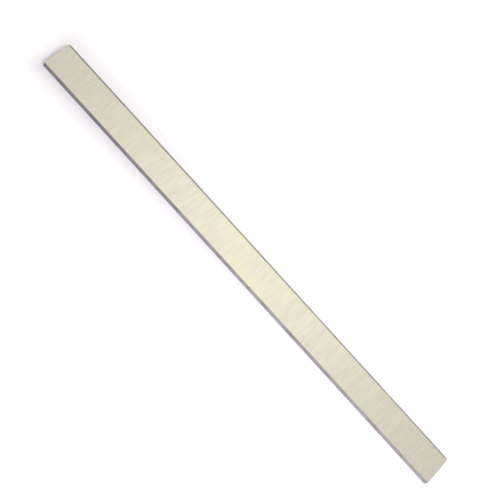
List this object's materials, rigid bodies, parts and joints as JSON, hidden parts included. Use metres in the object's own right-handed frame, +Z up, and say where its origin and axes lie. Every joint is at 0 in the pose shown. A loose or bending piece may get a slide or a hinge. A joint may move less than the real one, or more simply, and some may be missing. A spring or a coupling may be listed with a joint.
{
  "type": "planer knife",
  "caption": "Long flat planer knife: a plain bar of ground high-speed steel with a cutting bevel along its front edge and a chamfered back.",
  "frame": {"origin": "middle of the flat ground face that the knife lies on, halfway along and halfway across it", "axes": "+X along the cutting edge, +Y across the knife from the cutting edge to the back, +Z up through its thickness from the flat face to the bevelled side"},
  "size_m": [0.41, 0.025, 0.0025],
  "materials": {
    "ground_steel": "surface ground, with fine grinding lines across the knife"
  },
  "bodies": {
    "root": {"planer_knife": "ground_steel"}
  },
  "joints": []
}
